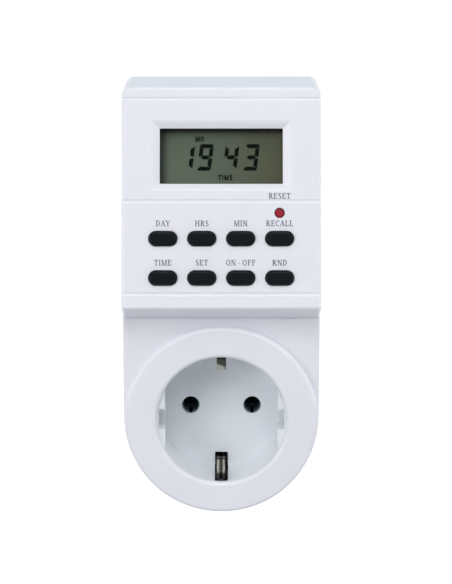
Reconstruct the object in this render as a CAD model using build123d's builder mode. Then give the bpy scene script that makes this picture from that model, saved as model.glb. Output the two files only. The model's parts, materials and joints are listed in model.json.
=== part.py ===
from build123d import *
import math
import os

# A plug-in timer: a sloping display panel over a round earthed socket, with a plug on the back.
# The origin is on the plug's axis in the wall plane. X runs right, Z up, and the front faces -Y.
# A depth is measured forwards from the wall plane. On the panel, a rise is measured up the slope
# from the panel's foot, and an inset is measured inwards from the panel's face.

# Plug well and its collar
well_diameter = 39.0
well_depth = 17.5
well_wall = 2.0
well_floor = 3.0
rim_fillet = 1.3
flat_depth = 2.5
flat_setback = 1.8
notch_width = 6.4
notch_depth = 2.0
notch_length = 8.0
pin_spacing = 19.0
pin_hole_diameter = 5.5
pin_hole_lip = 1.0
collar_land = 9.5
collar_height = 2.5
collar_fillet = 1.3
collar_margin = 0.5
centre_mark_diameter = 5.6
centre_mark_depth = 0.15
earth_slot_reach = 4.3
earth_slot_margin = 0.6
earth_slot_setback = 1.9
snap_bead_height = 0.4
snap_bead_length = 1.2
cup_clearance = 0.2

# Case
wall = 2.2
contact_room = 16.8
parting_depth = 12.0
top_depth = 27.5
panel_tilt = 16.0
underside_drop = 4.7
collar_gap = 2.4
corner_radius = 2.6
panel_fillet = 1.0
foot_fillet = 0.9
body_fillet = 1.4
rear_fillet = 1.0
parting_chamfer = 0.25
lip_height = 1.4
lip_clearance = 0.1
cut_overrun = 1.0

# Panel layout, stacked from the foot up
chin_rise = 4.3
first_row_rise = 4.8
row_gap = 7.35
column_gap = 3.15
reset_rise = 7.6
groove_rise = 3.4
bezel_gap = 3.0
bezel_width = 2.3
bezel_side_width = 2.9
bezel_depth = 1.3
bezel_profile = ((1, 0), (0.85, 0.04), (0.55, 0.3), (0, 1))
window_width = 36.4
window_height = 16.5
brow_rise = 6.25
forehead_rise = 3.45
groove_radius = 0.9
groove_lift = 0.65
seam_radius = 0.3

# Buttons and the switches under them
column_count = 4
button_length = 8.3
button_height = 4.25
button_proud = 1.3
button_fillet = 0.8
button_clearance = 0.2
flange_margin = 0.9
flange_thickness = 1.0
flange_gap = 0.1
stem_diameter = 3.0
stem_length = 1.4
reset_diameter = 2.7
reset_sunk = 0.4
reset_fillet = 0.4
button_travel = 0.8
plunger_diameter = 3.4
plunger_height = 1.5
plunger_guide = 1.0
plunger_clearance = 0.1
plunger_spare = 0.3
switch_width = 6.0
switch_height = 3.5

# Display
window_margin = 0.9
window_thickness = 1.2
window_air = 1.3
cell_margin = 1.3
cell_pane = 1.1
cell_ledge = 1.6
cell_clearance = 0.2
cell_hook = 0.6
frame_wall = 1.3
peg_diameter = 1.0
peg_clearance = 0.1
zebra_thickness = 2.0
zebra_end_gap = 2.0

# Control board
board_thickness = 1.6
board_low_margin = 3.6
board_edge = 0.4
board_side_gap = 1.5
boss_diameter = 4.0
boss_gap = 0.4
pilot_diameter = 1.7
pilot_clearance = 0.1
board_screw_head_diameter = 3.4
board_screw_head_height = 1.3
board_screw_length = 6.0
blob_diameter = 11.0
blob_height = 1.8
crystal_width = 11.0
crystal_depth = 4.6
crystal_height = 3.5
crystal_edge = 5.3
battery_diameter = 15.5
battery_thickness = 6.0
battery_step = 0.5
battery_top_gap = 1.0
battery_side_gap = 9.05

# Power board
power_post_height = 3.8
power_post_diameter = 5.0
power_post_edge = 3.2
power_board_side_gap = 4.3
power_board_low_gap = 1.6
power_board_top_gap = 3.0
relay_length = 29.0
relay_width = 12.7
relay_edge = 2.5
relay_low_gap = 3.15
relay_front_gap = 0.7
relay_fillet = 0.6
dropper_length = 18.0
dropper_width = 8.0
dropper_edge = 3.0
dropper_drop = 16.5
dropper_front_gap = 1.7
smoothing_diameter = 8.0
smoothing_height = 11.5
smoothing_gap = 0.3
can_groove = 0.4
diode_diameter = 2.7
diode_length = 5.2
diode_pitch = 4.0
diode_drop = 6.0
diode_edge = 5.0
diode_gap = 0.7
resistor_diameter = 2.4
resistor_length = 6.5
resistor_pitch = 3.6
resistor_drop = 15.5
resistor_edge = 7.35
lead_diameter = 0.7
lead_span = 1.4
ribbon_width = 10.0
ribbon_thickness = 0.9
ribbon_bend = 2.2
ribbon_run = 4.5
ribbon_offset = -8.0
ribbon_gap = 1.8

# Plug, contacts and earth
boss_clearance = 1.0
boss_depth = 17.0
boss_wall = 2.2
boss_end = 3.0
boss_chamfer = 1.0
guide_groove_width = 6.8
guide_groove_wall = 1.2
pin_diameter = 4.8
pin_length = 19.0
pin_root_step = 0.4
pin_tip_fillet = 1.8
pin_collar_diameter = 6.4
pin_collar_gap = 0.3
pin_collar_thickness = 1.5
pin_bore_clearance = 0.05
pin_inner_gap = 2.0
sleeve_wall = 0.8
sleeve_clearance = 0.05
sleeve_seat_clearance = 0.15
sleeve_slit = 1.0
sleeve_slit_length = 9.0
sleeve_base = 1.0
live_gap = 3.0
tag_width = 4.0
tag_thickness = 1.0
tag_top = 10.0
carrier_thickness = 3.0
carrier_height = 11.0
carrier_seat = 2.6
carrier_clearance = 0.1
carrier_gap = 1.0
strip_thickness = 0.8
strip_width = 2.8
strip_sink = 0.5
strip_nose_setback = 2.6
strip_nose_reach = 0.6
strip_crown_setback = 7.5
strip_crown_reach = 5.5
strip_foot_rise = 1.2
strip_foot_reach = 2.7
strip_foot_drop = 4.0
strip_jog = 1.2
strip_bend = 1.5
strip_end_setback = 1.5
link_gap = 1.2
link_tab = 4.0

# Wires
wire_diameter = 2.2
wire_bend = 4.0
wire_rise = 6.0
wire_slack = 1.9
live_in_offset = 11.8
live_out_offset = 7.0

# Case screws
pillar_diameter = 5.6
pillar_bite = 0.4
pillar_wall = 0.9
case_pilot_diameter = 2.6
case_screw_clearance = 0.3
case_head_diameter = 4.6
case_head_height = 2.0
case_head_clearance = 0.3
case_head_sink = 4.0
case_screw_grip = 9.0
recess_share = 0.62
recess_depth_share = 0.5
recess_width_share = 0.2
lower_pillar_angle = 45.0

# Sizes that follow
tilt = math.radians(panel_tilt)
well_radius = well_diameter / 2
tube_radius = well_radius + well_wall
collar_diameter = well_diameter + 2 * collar_land
floor_back = wall + contact_room
floor_front = floor_back + well_floor
collar_face = floor_front + well_depth
lower_face = collar_face - collar_height

row_pitch = button_height + row_gap
column_pitch = button_length + column_gap
lower_row = chin_rise + first_row_rise
upper_row = lower_row + row_pitch
reset_row = upper_row + reset_rise
middle_groove = reset_row + groove_rise
window_bottom = middle_groove + bezel_gap + bezel_width
window_centre = window_bottom + window_height / 2
top_groove = window_bottom + window_height + bezel_width + brow_rise
panel_length = top_groove + forehead_rise

foot_depth = top_depth + panel_length * math.sin(tilt)
foot_height = collar_diameter / 2 + collar_gap + underside_drop
top_height = foot_height + panel_length * math.cos(tilt)
underside_slope = underside_drop / (foot_depth - lower_face)

flange_front = wall + flange_gap
flange_back = flange_front + flange_thickness
plunger_tip = flange_back + stem_length
switch_top = plunger_tip + plunger_height
board_front = switch_top + switch_height
board_back = board_front + board_thickness
window_back = wall + window_thickness
cell_front = window_back + window_air
cell_back = cell_front + 2 * cell_pane

cell_width = window_width + 2 * cell_margin
cell_height = window_height + 2 * cell_margin
frame_inner_width = cell_width + 2 * cell_clearance
frame_inner_height = cell_height + 2 * cell_clearance
frame_width = frame_inner_width + 2 * frame_wall
frame_height = frame_inner_height + 2 * frame_wall
frame_top = window_centre + frame_height / 2

board_screw_x = frame_width / 2 + boss_gap + boss_diameter / 2
board_half_width = board_screw_x + boss_diameter / 2 + board_edge
board_top = frame_top + board_edge

# The case is wide enough for the collar and for the control board
body_radius = max(collar_diameter / 2 + collar_margin, board_half_width + board_side_gap + wall)
body_width = 2 * body_radius
inner_half_width = body_radius - wall

board_screw_places = [
    (side * board_screw_x, rise)
    for side in (-1, 1)
    for rise in (lower_row + row_pitch / 2, window_centre)
]
frame_corner_x = (frame_inner_width + frame_wall) / 2
frame_corner_rise = (frame_inner_height + frame_wall) / 2
peg_places = [
    (side * frame_corner_x, window_centre + end * frame_corner_rise)
    for side in (-1, 1)
    for end in (-1, 1)
]

pillar_radius = pillar_diameter / 2
rear_pillar_radius = case_head_diameter / 2 + case_head_clearance + pillar_wall
upper_pillar_x = inner_half_width - pillar_radius + pillar_bite
upper_pillar_height = top_height - wall - pillar_radius + pillar_bite
lower_pillar_angle_radians = math.radians(lower_pillar_angle)
lower_pillar_x = upper_pillar_x * math.cos(lower_pillar_angle_radians)
lower_pillar_height = -upper_pillar_x * math.sin(lower_pillar_angle_radians)
case_screw_places = [
    (side * x, height)
    for side in (-1, 1)
    for x, height in ((upper_pillar_x, upper_pillar_height), (lower_pillar_x, lower_pillar_height))
]

power_back = wall + power_post_height
power_front = power_back + board_thickness
power_bottom = foot_height + power_board_low_gap
power_top = upper_pillar_height - rear_pillar_radius - power_board_top_gap
power_half_width = inner_half_width - power_board_side_gap
power_post_places = [
    (side * (power_half_width - power_post_edge), height)
    for side in (-1, 1)
    for height in (power_bottom + power_post_edge, power_top - power_post_edge)
]

wire_end = power_bottom + wire_rise
wire_depth = power_front + wire_bend + wire_slack
tag_depth = wire_depth - tag_thickness / 2
relay_x = relay_edge + relay_length / 2 - power_half_width
relay_bottom = wire_end + relay_low_gap
relay_centre = relay_bottom + relay_width / 2
relay_top = relay_bottom + relay_width
smoothing_x = relay_x + relay_length / 2 + smoothing_gap + smoothing_diameter / 2
dropper_x = power_half_width - dropper_edge - dropper_length / 2
dropper_centre = power_top - dropper_drop

flat_x = well_radius - flat_depth
boss_radius = well_radius - boss_clearance
boss_flat = flat_x - boss_clearance
pin_x = pin_spacing / 2
pin_radius = pin_diameter / 2
sleeve_inner = pin_radius + sleeve_clearance
sleeve_outer = sleeve_inner + sleeve_wall
sleeve_front = floor_front - pin_hole_lip
hollow_half_width = pin_x + pin_collar_diameter / 2 + pin_collar_gap
guide_groove_x = hollow_half_width + guide_groove_wall
live_in_height = carrier_height / 2 + carrier_gap + wire_diameter / 2
strip_radius = boss_radius - strip_sink
strip_foot_radius = well_radius - strip_foot_reach
strip_foot_depth = floor_back - strip_foot_drop
strip_jog_depth = strip_foot_depth - strip_jog
link_depth = strip_jog_depth - link_gap - link_tab + strip_thickness / 2

wall_plane = Plane.XZ
side_plane = Plane(origin=(0, 0, 0), x_dir=(0, -1, 0), z_dir=(-1, 0, 0))
panel_plane = Plane(
    origin=(0, -foot_depth, foot_height),
    x_dir=(1, 0, 0),
    z_dir=(0, -math.cos(tilt), math.sin(tilt)),
)

columns = [(place - (column_count - 1) / 2) * column_pitch for place in range(column_count)]
upper_names = ["day", "hour", "minute", "recall"]
lower_names = ["time", "program", "mode", "random"]
button_places = {name: (x, upper_row) for name, x in zip(upper_names, columns)}
button_places.update({name: (x, lower_row) for name, x in zip(lower_names, columns)})
reset_place = (columns[-1], reset_row)
switch_places = [*button_places.values(), reset_place]

os.makedirs("parts", exist_ok=True)


def depth_plane(depth):
    """A plane parallel to the wall, at a depth in front of it."""
    return wall_plane.offset(depth)


def panel_level(inset):
    """A plane parallel to the panel, at an inset behind its face."""
    return panel_plane.offset(-inset)


def panel_point(rise, inset):
    """The depth and height of a point that is given up the panel and inwards from its face."""
    depth = foot_depth - rise * math.sin(tilt) - inset * math.cos(tilt)
    height = foot_height + rise * math.cos(tilt) - inset * math.sin(tilt)
    return depth, height


def board_back_depth(height):
    """The depth of the control board's back at a height."""
    rise = (height - foot_height + board_back * math.sin(tilt)) / math.cos(tilt)
    return panel_point(rise, board_back)[0]


def finish(piece, name):
    """Name a finished piece and write it."""
    piece.part.label = name
    export_step(piece.part, f"parts/{name}.step")


def case_outline(plane, inset):
    """The case seen from the front: half round below, straight sides, rounded top corners."""
    with BuildSketch(plane) as outline:
        Circle(body_radius - inset)
        Rectangle(body_width - 2 * inset, top_height - inset, align=(Align.CENTER, Align.MIN))
        fillet(outline.vertices().group_by(Axis.Y)[-1], corner_radius - inset)
    return outline.sketch


def lip_ring(plane, outer_inset, inner_inset):
    """A ring that follows the case's outline between two insets."""
    with BuildSketch(plane) as ring:
        add(case_outline(plane, outer_inset))
        add(case_outline(plane, inner_inset), mode=Mode.SUBTRACT)
    return ring.sketch


# The round-ended body that carries the socket
with BuildPart() as socket_body:
    with BuildSketch(wall_plane):
        Circle(body_radius)
        Rectangle(body_width, foot_height, align=(Align.CENTER, Align.MIN))
    extrude(amount=lower_face)
    front_edges = socket_body.faces().sort_by(Axis.Y)[0].edges()
    fillet(front_edges.sort_by(Axis.Z)[:-1], body_fillet)

# The sloping block above it, whose underside runs back into the body
with BuildPart() as panel_block:
    with BuildSketch(side_plane):
        with BuildLine():
            Polyline(
                (0, foot_height - underside_slope * foot_depth),
                (foot_depth, foot_height),
                (top_depth, top_height),
                (0, top_height),
                close=True,
            )
        make_face()
    extrude(amount=body_radius, both=True)
    fillet(panel_block.faces().sort_by(Axis.Z)[-1].edges().filter_by(Axis.Y), corner_radius)
    panel_face = panel_block.faces().sort_by(Axis((0, 0, 0), panel_plane.z_dir))[-1]
    underside_face = panel_block.faces().sort_by(Axis.Z)[0]
    foot_edge = panel_face.edges().sort_by(Axis.Z)[0]
    side_edges = panel_face.edges().filter_by(lambda edge: edge.center().Z > foot_edge.center().Z + wall)
    underside_edges = underside_face.edges().filter_by(Axis.X, reverse=True)
    fillet(side_edges + underside_edges, panel_fillet)
    foot_edges = panel_block.edges().filter_by(Axis.X).sort_by(Axis.Y)
    fillet(foot_edges[0], foot_fillet)

# The space inside the case, less the pillars and bosses that stand in its front half
with BuildPart() as front_space:
    with BuildSketch(side_plane):
        with BuildLine():
            Polyline(
                (0, -body_radius),
                (lower_face, -body_radius),
                (lower_face, foot_height - underside_drop),
                (foot_depth, foot_height),
                (top_depth, top_height),
                (0, top_height),
                close=True,
            )
        make_face()
        offset(amount=-wall, kind=Kind.INTERSECTION)
    extrude(amount=body_radius, both=True)
    extrude(case_outline(wall_plane, wall), amount=foot_depth, mode=Mode.INTERSECT)
    with BuildSketch(depth_plane(parting_depth)):
        with Locations(*case_screw_places):
            Circle(pillar_radius)
    extrude(amount=foot_depth, mode=Mode.SUBTRACT)
    with BuildSketch(panel_level(board_front)):
        with Locations(*board_screw_places):
            Circle(boss_diameter / 2)
    extrude(amount=board_front, mode=Mode.SUBTRACT)

# Front half of the case
with BuildPart() as front_shell:
    add(socket_body.part)
    add(panel_block.part)
    split(bisect_by=depth_plane(parting_depth), keep=Keep.TOP)
    chamfer(front_shell.faces().sort_by(Axis.Y)[-1].edges(), parting_chamfer)
    add(front_space.part, mode=Mode.SUBTRACT)
    extrude(
        lip_ring(depth_plane(parting_depth), wall / 2 - lip_clearance, wall + lip_clearance),
        amount=lip_height + lip_clearance,
        mode=Mode.SUBTRACT,
    )
    # Round hole for the socket cup
    with BuildSketch(depth_plane(lower_face)):
        Circle(tube_radius + cup_clearance)
    extrude(amount=-(wall + cut_overrun), mode=Mode.SUBTRACT)
    # Display opening, whose bezel gets steeper towards the window
    for step in zip(bezel_profile, bezel_profile[1:]):
        for width_share, depth_share in step:
            with BuildSketch(panel_level(bezel_depth * depth_share)):
                with Locations((0, window_centre)):
                    Rectangle(
                        window_width + 2 * bezel_side_width * width_share,
                        window_height + 2 * bezel_width * width_share,
                    )
        loft(mode=Mode.SUBTRACT)
    with BuildSketch(panel_level(bezel_depth)):
        with Locations((0, window_centre)):
            Rectangle(window_width, window_height)
    extrude(amount=-(wall - bezel_depth + cut_overrun), mode=Mode.SUBTRACT)
    # Button holes
    with BuildSketch(panel_plane):
        with Locations(*button_places.values()):
            SlotOverall(button_length + 2 * button_clearance, button_height + 2 * button_clearance)
        with Locations(reset_place):
            Circle(reset_diameter / 2 + button_clearance)
    extrude(amount=-(wall + cut_overrun), mode=Mode.SUBTRACT)
    # Three grooves across the panel, and a seam in the corner under its foot
    with BuildSketch(side_plane):
        for rise in (chin_rise, middle_groove, top_groove):
            with Locations(panel_point(rise, -groove_lift)):
                Circle(groove_radius)
        with Locations((lower_face, foot_height - underside_drop)):
            Circle(seam_radius)
    extrude(amount=body_width, both=True, mode=Mode.SUBTRACT)
    # Pilot holes for the case screws and the board screws
    with BuildSketch(depth_plane(parting_depth)):
        with Locations(*case_screw_places):
            Circle(case_pilot_diameter / 2 + pilot_clearance)
    extrude(amount=case_screw_grip + cut_overrun, mode=Mode.SUBTRACT)
    with BuildSketch(panel_level(board_front)):
        with Locations(*board_screw_places):
            Circle(pilot_diameter / 2 + pilot_clearance)
    extrude(amount=board_screw_length, mode=Mode.SUBTRACT)
finish(front_shell, "front_shell")

# Back half of the case, with the plug body
with BuildPart() as rear_shell:
    extrude(case_outline(wall_plane, 0), amount=parting_depth)
    fillet(rear_shell.faces().sort_by(Axis.Y)[-1].edges(), rear_fillet)
    chamfer(rear_shell.faces().sort_by(Axis.Y)[0].edges(), parting_chamfer)
    extrude(case_outline(depth_plane(wall), wall), amount=parting_depth - wall, mode=Mode.SUBTRACT)
    extrude(lip_ring(depth_plane(parting_depth), wall / 2, wall), amount=lip_height)
    with BuildSketch(depth_plane(wall)):
        with Locations(*case_screw_places):
            Circle(rear_pillar_radius)
        add(case_outline(depth_plane(wall), wall / 2), mode=Mode.INTERSECT)
    extrude(amount=parting_depth - wall)
    with BuildSketch(depth_plane(wall)):
        with Locations(*power_post_places):
            Circle(power_post_diameter / 2)
    extrude(amount=power_post_height)
    # Plug body with its side flats
    with BuildSketch(wall_plane):
        Circle(boss_radius)
        Rectangle(2 * boss_flat, 2 * boss_radius, mode=Mode.INTERSECT)
    extrude(amount=-boss_depth)
    chamfer(rear_shell.faces().sort_by(Axis.Y)[-1].edges(), boss_chamfer)
    # Side grooves for a socket's guide ribs
    with BuildSketch(wall_plane):
        for side in (-1, 1):
            with Locations((side * (guide_groove_x + boss_radius / 2), 0)):
                Rectangle(boss_radius, guide_groove_width)
    extrude(amount=-(boss_depth + cut_overrun), mode=Mode.SUBTRACT)
    # Hollow behind the pins
    with BuildSketch(depth_plane(wall)):
        Circle(boss_radius - boss_wall)
        Rectangle(2 * hollow_half_width, 2 * boss_radius, mode=Mode.INTERSECT)
    extrude(amount=-(wall + boss_depth - boss_end), mode=Mode.SUBTRACT)
    # Channels and slots for the earth strips
    with BuildSketch(depth_plane(wall)):
        for end in (-1, 1):
            with Locations((0, end * (strip_radius - strip_thickness / 2 + boss_clearance))):
                Rectangle(strip_width + 2 * earth_slot_margin, 2 * boss_clearance)
    extrude(amount=-(wall + boss_depth + cut_overrun), mode=Mode.SUBTRACT)
    # Pin holes
    with BuildSketch(wall_plane):
        with Locations((-pin_x, 0), (pin_x, 0)):
            Circle(pin_radius + pin_root_step + pin_bore_clearance)
    extrude(amount=-(boss_depth + cut_overrun), mode=Mode.SUBTRACT)
    # Deep counterbores and clearance holes for the case screws
    with BuildSketch(wall_plane):
        with Locations(*case_screw_places):
            Circle(case_head_diameter / 2 + case_head_clearance)
    extrude(amount=case_head_sink + case_head_height, mode=Mode.SUBTRACT)
    with BuildSketch(wall_plane):
        with Locations(*case_screw_places):
            Circle(case_pilot_diameter / 2 + case_screw_clearance)
    extrude(amount=parting_depth + cut_overrun, mode=Mode.SUBTRACT)
    # Pilot holes in the power board's posts
    with BuildSketch(depth_plane(power_back)):
        with Locations(*power_post_places):
            Circle(pilot_diameter / 2 + pilot_clearance)
    extrude(amount=-power_post_height, mode=Mode.SUBTRACT)
finish(rear_shell, "rear_shell")

# Socket cup: the collar, the well and its floor
with BuildPart() as socket_cup:
    with BuildSketch(depth_plane(lower_face)):
        Circle(collar_diameter / 2)
    extrude(amount=collar_height)
    fillet(socket_cup.faces().sort_by(Axis.Y)[0].edges(), collar_fillet)
    with BuildSketch(depth_plane(floor_back)):
        Circle(tube_radius)
    extrude(amount=lower_face - floor_back)
    with BuildSketch(depth_plane(lower_face - wall - lip_clearance)):
        Circle(tube_radius + snap_bead_height)
    extrude(amount=-snap_bead_length)
    with BuildSketch(depth_plane(floor_front)):
        Circle(well_radius)
    extrude(amount=well_depth, mode=Mode.SUBTRACT)
    rim_edge = socket_cup.faces().sort_by(Axis.Y)[0].inner_wires()[0].edges()
    fillet(rim_edge, rim_fillet)
    # Flat sides, each with a notch in its front edge
    with BuildSketch(depth_plane(floor_front)):
        Circle(well_radius + well_wall / 2)
        Rectangle(2 * flat_x, 2 * tube_radius, mode=Mode.SUBTRACT)
    extrude(amount=well_depth - flat_setback)
    with BuildSketch(depth_plane(collar_face - flat_setback)):
        for side in (-1, 1):
            with Locations((side * (flat_x + notch_depth / 2), 0)):
                Rectangle(notch_depth, notch_width)
    extrude(amount=-notch_length, mode=Mode.SUBTRACT)
    # Slots for the earth strips, through the wall and the edge of the floor
    earth_slot_height = well_wall + snap_bead_height + earth_slot_reach
    earth_slot_centre = well_radius - earth_slot_reach + earth_slot_height / 2
    with BuildSketch(depth_plane(floor_back)):
        with Locations((0, -earth_slot_centre), (0, earth_slot_centre)):
            Rectangle(strip_width + 2 * earth_slot_margin, earth_slot_height)
    extrude(amount=well_floor + well_depth - earth_slot_setback, mode=Mode.SUBTRACT)
    # Pin holes, each with a seat behind its lip for a contact sleeve, and the round mark between them
    with BuildSketch(depth_plane(floor_back)):
        with Locations((-pin_x, 0), (pin_x, 0)):
            Circle(pin_hole_diameter / 2)
    extrude(amount=well_floor, mode=Mode.SUBTRACT)
    with BuildSketch(depth_plane(floor_back)):
        with Locations((-pin_x, 0), (pin_x, 0)):
            Circle(sleeve_outer + sleeve_seat_clearance)
    extrude(amount=sleeve_front - floor_back, mode=Mode.SUBTRACT)
    with BuildSketch(depth_plane(floor_front)):
        Circle(centre_mark_diameter / 2)
    extrude(amount=-centre_mark_depth, mode=Mode.SUBTRACT)
finish(socket_cup, "socket_cup")

# Clear window behind the bezel
with BuildPart() as lcd_window:
    with BuildSketch(panel_level(wall)):
        with Locations((0, window_centre)):
            Rectangle(window_width + 2 * window_margin, window_height + 2 * window_margin)
    extrude(amount=-window_thickness)
finish(lcd_window, "lcd_window")

# Liquid crystal cell: two panes, the front one shorter so that the contact ledge is bare
with BuildPart() as lcd_glass:
    with BuildSketch(panel_level(cell_front)):
        with Locations((0, window_centre + cell_ledge / 2)):
            Rectangle(cell_width, cell_height - cell_ledge)
    extrude(amount=-cell_pane)
    with BuildSketch(panel_level(cell_front + cell_pane)):
        with Locations((0, window_centre)):
            Rectangle(cell_width, cell_height)
    extrude(amount=-cell_pane)
finish(lcd_glass, "lcd_glass")

# Frame round the cell, hooked over the cell's edge and pegged to the control board
with BuildPart() as lcd_frame:
    with BuildSketch(panel_level(wall)):
        with Locations((0, window_centre)):
            Rectangle(frame_width, frame_height)
            Rectangle(frame_inner_width, frame_inner_height, mode=Mode.SUBTRACT)
    extrude(amount=-(board_front - wall))
    with BuildSketch(panel_level(window_back)):
        with Locations((0, window_centre)):
            Rectangle(frame_inner_width + frame_wall, frame_inner_height + frame_wall)
            Rectangle(cell_width - 2 * cell_hook, cell_height - 2 * cell_hook, mode=Mode.SUBTRACT)
    extrude(amount=-window_air)
    with BuildSketch(panel_level(board_front)):
        with Locations(*peg_places):
            Circle(peg_diameter / 2)
    extrude(amount=-board_thickness)
finish(lcd_frame, "lcd_frame")

# Conductive rubber strips from the cell's edges to the board
with BuildPart() as zebra_strips:
    with BuildSketch(panel_level(cell_back)):
        for end in (-1, 1):
            with Locations((0, window_centre + end * (cell_height - zebra_thickness) / 2)):
                Rectangle(cell_width - 2 * zebra_end_gap, zebra_thickness)
    extrude(amount=-(board_front - cell_back))
finish(zebra_strips, "zebra_strips")


def button_cap(place):
    """An oval cap with a flange behind the panel and a stem down to its switch."""
    with BuildPart() as cap:
        with BuildSketch(panel_level(flange_front)):
            with Locations(place):
                SlotOverall(button_length, button_height)
        extrude(amount=flange_front + button_proud)
        fillet(cap.faces().sort_by(Axis((0, 0, 0), panel_plane.z_dir))[-1].edges(), button_fillet)
        with BuildSketch(panel_level(flange_back)):
            with Locations(place):
                SlotOverall(button_length + 2 * flange_margin, button_height + 2 * flange_margin)
        extrude(amount=flange_thickness)
        with BuildSketch(panel_level(flange_back)):
            with Locations(place):
                Circle(stem_diameter / 2)
        extrude(amount=-stem_length)
    return cap


def switch_plunger(place):
    """The round plunger that stands out of a switch under a cap."""
    with BuildPart() as plunger:
        with BuildSketch(panel_level(plunger_tip)):
            with Locations(place):
                Circle(plunger_diameter / 2)
        extrude(amount=-(plunger_height + plunger_guide))
    return plunger


# Buttons and plungers
for name, place in button_places.items():
    finish(button_cap(place), f"button_{name}")
    finish(switch_plunger(place), f"plunger_{name}")

# Small round reset button, sunk below the panel's face
with BuildPart() as reset_button:
    with BuildSketch(panel_level(flange_front)):
        with Locations(reset_place):
            Circle(reset_diameter / 2)
    extrude(amount=flange_front - reset_sunk)
    fillet(reset_button.faces().sort_by(Axis((0, 0, 0), panel_plane.z_dir))[-1].edges(), reset_fillet)
    with BuildSketch(panel_level(flange_back)):
        with Locations(reset_place):
            Circle(reset_diameter / 2 + flange_margin)
    extrude(amount=flange_thickness)
    with BuildSketch(panel_level(flange_back)):
        with Locations(reset_place):
            Circle(stem_diameter / 2)
    extrude(amount=-stem_length)
finish(reset_button, "reset_button")
finish(switch_plunger(reset_place), "plunger_reset")

# Switch bodies, each with a blind bore for its plunger
with BuildPart() as tact_switches:
    with BuildSketch(panel_level(board_front)):
        with Locations(*switch_places):
            Rectangle(switch_width, switch_width)
    extrude(amount=switch_height)
    with BuildSketch(panel_level(switch_top)):
        with Locations(*switch_places):
            Circle(plunger_diameter / 2 + plunger_clearance)
    extrude(amount=-(plunger_guide + button_travel + plunger_spare), mode=Mode.SUBTRACT)
finish(tact_switches, "tact_switches")

# Control board, parallel to the panel
with BuildPart() as control_board:
    with BuildSketch(panel_level(board_front)):
        with Locations((0, (board_low_margin + board_top) / 2)):
            Rectangle(2 * board_half_width, board_top - board_low_margin)
        with Locations(*board_screw_places):
            Circle(pilot_diameter / 2 + pilot_clearance, mode=Mode.SUBTRACT)
        with Locations(*peg_places):
            Circle(peg_diameter / 2 + peg_clearance, mode=Mode.SUBTRACT)
    extrude(amount=-board_thickness)
finish(control_board, "control_board")

# Resin cap over the controller: part of a ball on the board's back
with BuildPart() as controller_blob:
    blob_ball = (blob_diameter**2 / 4 + blob_height**2) / (2 * blob_height)
    with Locations(panel_level(board_back + blob_height - blob_ball).location * Pos(0, upper_row, 0)):
        Sphere(blob_ball)
    split(bisect_by=panel_level(board_back), keep=Keep.BOTTOM)
finish(controller_blob, "controller_blob")

# Clock crystal in its flat-sided can
with BuildPart() as crystal:
    with BuildSketch(panel_level(board_back)):
        with Locations((board_half_width - crystal_edge - crystal_width / 2, upper_row)):
            SlotOverall(crystal_width, crystal_depth)
    extrude(amount=-crystal_height)
finish(crystal, "crystal")

# Button cell that keeps the time in a power cut
with BuildPart() as backup_battery:
    battery_x = battery_side_gap + battery_diameter / 2 - board_half_width
    battery_rise = board_top - battery_top_gap - battery_diameter / 2
    with BuildSketch(panel_level(board_back)):
        with Locations((battery_x, battery_rise)):
            Circle(battery_diameter / 2)
    extrude(amount=-(battery_thickness - battery_step))
    with BuildSketch(panel_level(board_back + battery_thickness - battery_step)):
        with Locations((battery_x, battery_rise)):
            Circle(battery_diameter / 2 - battery_step)
    extrude(amount=-battery_step)
finish(backup_battery, "backup_battery")

# Power board, upright on the posts of the back shell
with BuildPart() as power_board:
    with BuildSketch(depth_plane(power_back)):
        with Locations((0, (power_bottom + power_top) / 2)):
            Rectangle(2 * power_half_width, power_top - power_bottom)
        with Locations(*power_post_places):
            Circle(pilot_diameter / 2 + pilot_clearance, mode=Mode.SUBTRACT)
    extrude(amount=board_thickness)
finish(power_board, "power_board")

# Sealed relay, as tall as the parts on the control board allow
with BuildPart() as relay:
    relay_front = board_back_depth(relay_top) - crystal_height / math.cos(tilt) - relay_front_gap
    with BuildSketch(depth_plane(power_front)):
        with Locations((relay_x, relay_centre)):
            Rectangle(relay_length, relay_width)
    extrude(amount=relay_front - power_front)
    fillet(relay.faces().sort_by(Axis.Y)[0].edges(), relay_fillet)
finish(relay, "relay")

# Film capacitor that drops the mains voltage, as tall as the control board allows
with BuildPart() as dropper_capacitor:
    dropper_front = board_back_depth(dropper_centre + dropper_width / 2) - dropper_front_gap
    with BuildSketch(depth_plane(power_front)):
        with Locations((dropper_x, dropper_centre)):
            Rectangle(dropper_length, dropper_width)
    extrude(amount=dropper_front - power_front)
finish(dropper_capacitor, "dropper_capacitor")

# Electrolytic capacitor with the crimped groove near its foot
with BuildPart() as smoothing_capacitor:
    with BuildSketch(depth_plane(power_front)):
        with Locations((smoothing_x, relay_centre)):
            Circle(smoothing_diameter / 2)
    extrude(amount=smoothing_height)
    with BuildSketch(depth_plane(power_front + 2 * can_groove)):
        with Locations((smoothing_x, relay_centre)):
            Circle(smoothing_diameter / 2)
            Circle(smoothing_diameter / 2 - can_groove, mode=Mode.SUBTRACT)
    extrude(amount=can_groove, mode=Mode.SUBTRACT)
finish(smoothing_capacitor, "smoothing_capacitor")


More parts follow.
